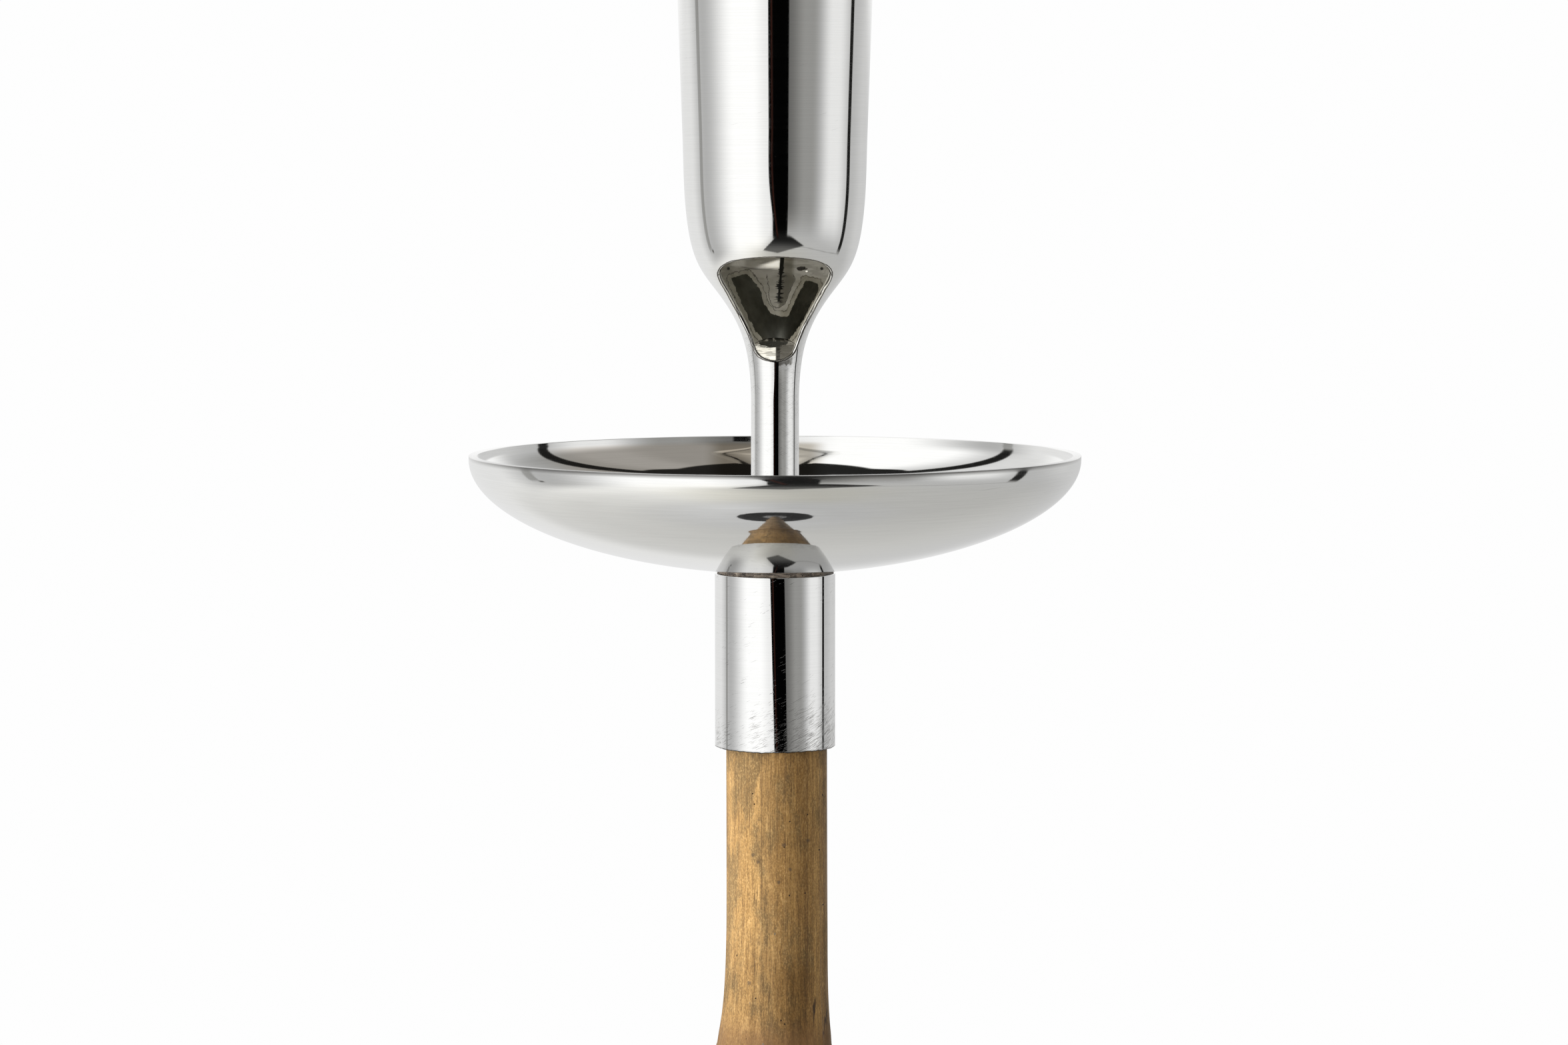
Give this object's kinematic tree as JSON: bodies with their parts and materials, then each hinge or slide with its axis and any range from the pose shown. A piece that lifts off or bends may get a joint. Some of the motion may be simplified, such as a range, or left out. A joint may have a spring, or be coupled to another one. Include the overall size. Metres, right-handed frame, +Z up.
{
  "type": "altar candlestick",
  "caption": "Tall candlestick: mirror-polished steel cup with a funnel window and drip pan, screwed to a bamboo pole that lifts out of a weighted round base.",
  "frame": {"origin": "centre of the felt's underside, on the floor", "axes": "+Z up along the pole; -Y is the front, where the cup's window faces; +X is to the right seen from the front"},
  "size_m": [0.285, 0.285, 1.2359],
  "materials": {
    "polished_steel": "mirror-polished stainless steel with fine turning lines and light scuffs",
    "socket_steel": "turned and polished steel, slightly softer than the head",
    "screw_steel": "plain machined steel",
    "bamboo": "old golden tan bamboo skin with fine upright fibres, mottling and dark specks",
    "dowel_wood": "plain hardwood",
    "washer_fibre": "rough brown leather or fibre",
    "leather": "brown sole leather",
    "black_plate": "fine-textured black powder coat",
    "felt": "black pressed felt"
  },
  "bodies": {
    "base": {"base_felt": "felt", "base_plate": "black_plate", "socket_flange": "socket_steel", "socket_tube": "socket_steel", "flange_screws": "screw_steel"},
    "turning_pad": {"socket_pad": "leather"},
    "pole": {"foot_ferrule": "polished_steel", "foot_plug": "polished_steel", "bamboo_pole": "bamboo", "foot_dowel": "dowel_wood", "head_dowel": "dowel_wood", "head_ferrule": "polished_steel", "ferrule_plug": "polished_steel"},
    "rising_washer": {"pan_washer": "washer_fibre"},
    "head": {"drip_pan": "polished_steel", "head_stud": "screw_steel", "stem_rod": "polished_steel", "cup_shell": "polished_steel"}
  },
  "joints": [
    {"name": "pole_turn", "type": "hinge", "parent": "base", "child": "turning_pad", "pos_m": [0, 0, 0.01], "axis": [0, 0, 1], "continuous": true},
    {"name": "pole_lift", "type": "slide", "parent": "turning_pad", "child": "pole", "axis": [0, 0, 1], "range_m": [0, 0.0825]},
    {"name": "head_rise", "type": "slide", "parent": "pole", "child": "rising_washer", "axis": [0, 0, 1], "range_m": [0, 0.0151]},
    {"name": "head_turn", "type": "hinge", "parent": "rising_washer", "child": "head", "pos_m": [0, 0, 1.0577], "axis": [0, 0, 1], "range_deg": [0, 4320]}
  ],
  "couplings": [
    {"joint": "head_rise", "follows": "head_turn", "m_per_rad": 0.00019894}
  ]
}
